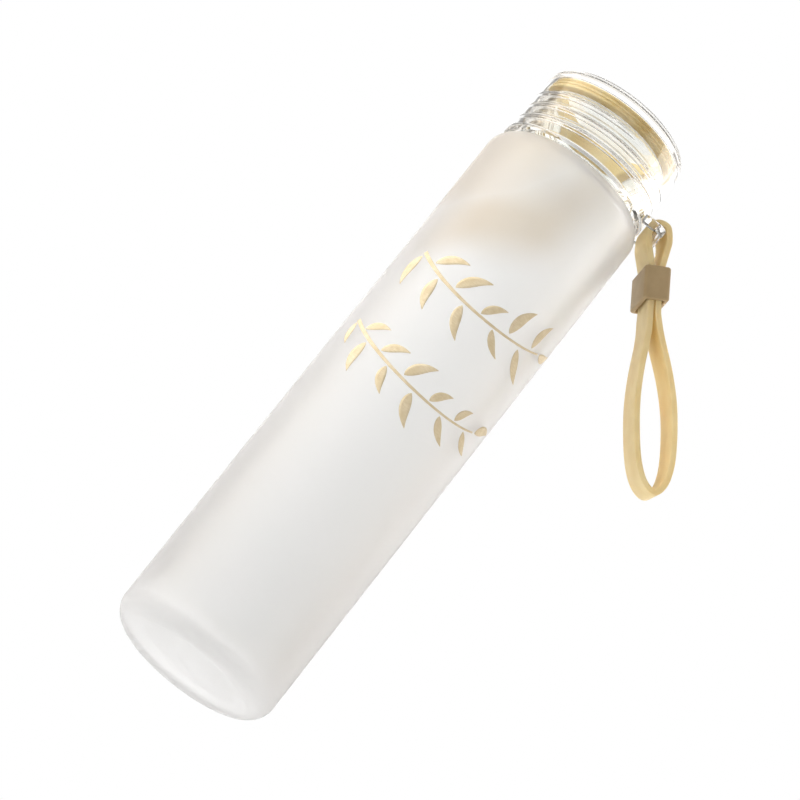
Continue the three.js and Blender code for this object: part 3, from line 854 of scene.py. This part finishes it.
def silicone(name, dark, light, grain_mm, roughness, glow):
    """Moulded silicone rubber in a soft colour, from its darker to its paler mottling."""
    material, tree = pattern(name)
    where = add(tree, "ShaderNodeTexCoord").outputs["Object"]
    broad = {"Vector": where, "Scale": 1 / (CLOUDS * MM), "Detail": 3.0}
    cloud = add(tree, "ShaderNodeTexNoise", broad)
    tone = add(tree, "ShaderNodeValToRGB", {"Fac": cloud.outputs["Fac"]}, [(0.35, dark), (0.65, light)])
    fine = {"Vector": where, "Scale": 1 / (grain_mm * MM), "Detail": 4.0}
    grain = add(tree, "ShaderNodeTexNoise", fine)
    bump = {"Strength": 0.3, "Distance": GRAIN_DEPTH * MM, "Height": grain.outputs["Fac"]}
    matt = add(tree, "ShaderNodeBump", bump)
    low, high = roughness - SHEEN_SPREAD, roughness + SHEEN_SPREAD
    sheen = add(
        tree, "ShaderNodeMapRange", {"Value": grain.outputs["Fac"], 1: 0.3, 2: 0.7, 3: low, 4: high}
    )
    surface = add(
        tree,
        "ShaderNodeBsdfPrincipled",
        {
            "Base Color": tone.outputs["Color"],
            "Roughness": sheen,
            "IOR": 1.41,
            "Subsurface Weight": glow,
            "Subsurface Radius": (1.0, 0.9, 0.7),
            "Subsurface Scale": GLOW_REACH * MM,
            "Normal": matt,
        },
    )
    from_behind = add(tree, "ShaderNodeBsdfTranslucent", {"Color": tone.outputs["Color"]})
    body = add(tree, "ShaderNodeMixShader", {0: glow, 1: surface, 2: from_behind})
    add(tree, "ShaderNodeOutputMaterial", {"Surface": body})
    return material


# Seal silicone: a warm honey tan that glows through the clear skirt, with a soft satin face.
seal_rubber = silicone("tan_seal_silicone", "#F3DFA9", "#F9EABD", 0.5, 0.5, 0.2)
seal = grown(
    "sealing_ring",
    profile_mesh("ring_section", ring_profile()),
    (turning, {"Flats": ROUND, "Material": seal_rubber}),
)
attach(seal, "cap_lifter")
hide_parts("cap_seal")

# ---------------------------------------------------------------------------------------------------
# Wrist strap. A flat endless band of pale yellow silicone, moulded flat and looped round the
# eyelet's bar. It hangs, bows open below the slider, and leans back a little.
STRAP_OUT = math.radians(32.3)  # angle away from the bottle's wall
BAND_THICK, BAND_WIDE, BAND_EDGE_R, BAND_STEPS = 2.15, 16.0, 0.45, 300
WRAP_R, STRAP_END = 3.7, 89.2  # middle of the band round the bar, and at its lowest point
HALF_SPREAD = [  # distance below the bar, half the distance between the strands' middles
    (2.5, 3.7),
    (6, 3.1),
    (12.4, 1.7),
    (16, 1.3),
    (25, 1.25),
    (31, 1.6),
    (37, 2.5),
    (48, 4.9),
    (58, 6.3),
    (68, 6.6),
    (78, 6),
    (84.5, 4.4),
    (88, 2.2),
]
DROOP_START = 28.4  # below here the loop leaves the slider's line
DROOP_OUT = (0.103, -0.00025)  # outwards, per mm and per mm squared past the start
DROOP_BACK = (0.0153, 0.00097)  # towards the back, likewise

band, given = new_tree(
    "looped band",
    {
        **dict.fromkeys(("Thickness", "Width", "Edge Radius"), "Float"),
        "Steps": "Int",
        **dict.fromkeys(("Droop Start", "Droop Out", "Droop Out Curve"), "Float"),
        **dict.fromkeys(("Droop Back", "Droop Back Curve"), "Float"),
        "Material": "Material",
    },
)
section = add(
    band,
    "GeometryNodeCurvePrimitiveQuadrilateral",
    {"Width": given["Thickness"], "Height": given["Width"]},
)
eased_section = add(
    band,
    "GeometryNodeFilletCurve",
    {"Curve": section, "Count": 4, "Radius": given["Edge Radius"]},
    mode="POLY",
)
looped = add(band, "GeometryNodeMeshToCurve", {"Mesh": given["Geometry"]})
rounded = add(band, "GeometryNodeCurveSplineType", {"Curve": looped}, spline_type="CATMULL_ROM")
stepped = add(band, "GeometryNodeResampleCurve", {"Curve": rounded, "Count": given["Steps"]})
upright = add(band, "GeometryNodeSetCurveNormal", {"Curve": stepped}, mode="Z_UP")
ribbon = add(band, "GeometryNodeCurveToMesh", {"Curve": upright, "Profile Curve": eased_section})
corner = add(band, "ShaderNodeSeparateXYZ", {0: add(band, "GeometryNodeInputPosition")})
fall = add(band, "ShaderNodeMath", {0: corner.outputs["Y"], 1: -1.0}, operation="MULTIPLY")
beyond = add(band, "ShaderNodeMath", {0: fall, 1: given["Droop Start"]}, operation="SUBTRACT")
past = add(band, "ShaderNodeMath", {0: beyond, 1: 0.0}, operation="MAXIMUM")
below = add(band, "ShaderNodeMath", {0: beyond, 1: 0.0}, operation="GREATER_THAN")
rates, moved = {}, {}
for way, axis in (("Out", "X"), ("Back", "Z")):
    droop = {0: past, 1: given[f"Droop {way} Curve"], 2: given[f"Droop {way}"]}
    rates[way] = add(band, "ShaderNodeMath", droop, operation="MULTIPLY_ADD")
    shift = {0: past, 1: rates[way], 2: corner.outputs[axis]}
    moved[way] = add(band, "ShaderNodeMath", shift, operation="MULTIPLY_ADD")
bend = {0: past, 1: given["Droop Back Curve"], 2: rates["Back"]}
steeper = add(band, "ShaderNodeMath", bend, operation="MULTIPLY_ADD")
slope = add(band, "ShaderNodeMath", {0: steeper, 1: below}, operation="MULTIPLY")
shift = {0: slope, 1: corner.outputs["Z"], 2: corner.outputs["Y"]}
moved["Up"] = add(band, "ShaderNodeMath", shift, operation="MULTIPLY_ADD")
hung = add(band, "ShaderNodeCombineXYZ", {"X": moved["Out"], "Y": moved["Back"], "Z": moved["Up"]})
drooped = add(band, "GeometryNodeSetPosition", {"Geometry": ribbon, "Position": hung})
sleek = add(band, "GeometryNodeSetShadeSmooth", {"Geometry": drooped})
give_out(band, sleek, given["Material"])


def hang_on_bar(obj):
    """Moves a mesh from the strap's own frame, whose -Z runs down the strap, to its place."""
    to_bar = Matrix.Translation(Vector((BAR_X, 0, BAR_Z)) * MM)
    obj.data.transform(to_bar @ Matrix.Rotation(-STRAP_OUT, 4, "Y"))
    shape = bmesh.new()
    shape.from_mesh(obj.data)
    bmesh.ops.recalc_face_normals(shape, faces=shape.faces)
    shape.to_mesh(obj.data)
    shape.free()


wrap = [math.radians(a) for a in (-60, -30, 0, 30, 60)]
route = [(-WRAP_R * math.cos(a), WRAP_R * math.sin(a)) for a in wrap]
route += [*HALF_SPREAD, (STRAP_END, 0), *((d, -half) for d, half in reversed(HALF_SPREAD))]
centre_line = bpy.data.meshes.new("strap_route")
centre_line.from_pydata(
    [(across * MM, -distance * MM, 0) for distance, across in route],
    [(i, (i + 1) % len(route)) for i in range(len(route))],
    [],
)

# Strap silicone: a creamy yellow rubber, warm and slightly see-through at its edges, with a satin
# skin that picks up dust.
strap_rubber = silicone("yellow_strap_silicone", "#F0DEAC", "#F7E8BB", 0.35, 0.52, 0.3)
strap = grown(
    "silicone_band",
    centre_line,
    (
        band,
        {
            "Thickness": BAND_THICK * MM,
            "Width": BAND_WIDE * MM,
            "Edge Radius": BAND_EDGE_R * MM,
            "Steps": BAND_STEPS,
            "Droop Start": DROOP_START * MM,
            "Droop Out": DROOP_OUT[0],
            "Droop Out Curve": DROOP_OUT[1] / MM,
            "Droop Back": DROOP_BACK[0],
            "Droop Back Curve": DROOP_BACK[1] / MM,
            "Material": strap_rubber,
        },
    ),
)
hang_on_bar(strap)
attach(strap, "strap")
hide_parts("wrist_strap")

# ---------------------------------------------------------------------------------------------------
# Strap slider. A firmer block of tan silicone with a rectangular slot that holds the band's two
# strands together. It was moulded round a steel core, and grips by friction.
SLIDER_LONG, SLIDER_ACROSS, SLIDER_DEEP, SLIDER_AT = 12.0, 9.2, 20.0, 18.4
SLOT_ACROSS, SLOT_DEEP, SLOT_CORNER_R = 6.2, 16.8, 0.7
BLOCK_CORNER_R, BLOCK_EDGE_R, SLOT_EDGE_R = 1.4, 0.8, 0.3


def rounded_outline(half_x, half_y, corner_r, steps=5):
    """The points of a rectangle with round corners, anticlockwise."""
    x, y = half_x - corner_r, half_y - corner_r
    corners = [(x, -y, -90), (x, y, 0), (-x, y, 90), (-x, -y, 180)]
    return [p for cx, cy, start in corners for p in arc(cx, cy, corner_r, start, start + 90, steps)]


def block_mesh():
    """The block, from its slot's lower rim out, up the sides and back down through the slot."""
    half = SLIDER_LONG / 2
    low = [(-BLOCK_EDGE_R + x, z) for x, z in arc(0, BLOCK_EDGE_R - half, BLOCK_EDGE_R, -90, 0, 5)]
    high = [(x, -z) for x, z in reversed(low)]
    outside = [(x, z, SLIDER_ACROSS / 2, SLIDER_DEEP / 2, BLOCK_CORNER_R) for x, z in low + high]
    top = [(SLOT_EDGE_R - x, z) for x, z in arc(0, half - SLOT_EDGE_R, SLOT_EDGE_R, 90, 0, 4)]
    bottom = [(x, -z) for x, z in reversed(top)]
    inside = [(x, z, SLOT_ACROSS / 2, SLOT_DEEP / 2, SLOT_CORNER_R) for x, z in top + bottom]
    shape = bmesh.new()
    rings = []
    for offset, z, half_x, half_y, corner_r in outside + inside:
        ring = rounded_outline(half_x + offset, half_y + offset, max(0.1, corner_r + offset))
        rings.append([shape.verts.new((x * MM, y * MM, (z - SLIDER_AT) * MM)) for x, y in ring])
    for ring, after in zip(rings, rings[1:] + rings[:1]):
        for i in range(len(ring)):
            j = (i + 1) % len(ring)
            shape.faces.new((ring[i], ring[j], after[j], after[i]))
    mesh = bpy.data.meshes.new("slider_block")
    shape.to_mesh(mesh)
    shape.free()
    mesh.shade_smooth()
    return mesh


# Slider silicone: a duller, browner tan than the band, matt, with rounded, slightly paler edges.
slider_rubber = silicone("tan_slider_silicone", "#A68F6A", "#B29B76", 0.4, 0.55, 0.05)
slider = link(bpy.data.objects.new("slider_block", block_mesh()))
slider.data.materials.append(slider_rubber)
hang_on_bar(slider)
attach(slider, "slider")
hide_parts("strap_slider")

# ---------------------------------------------------------------------------------------------------
# Size. The finished model's box.
low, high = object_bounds()
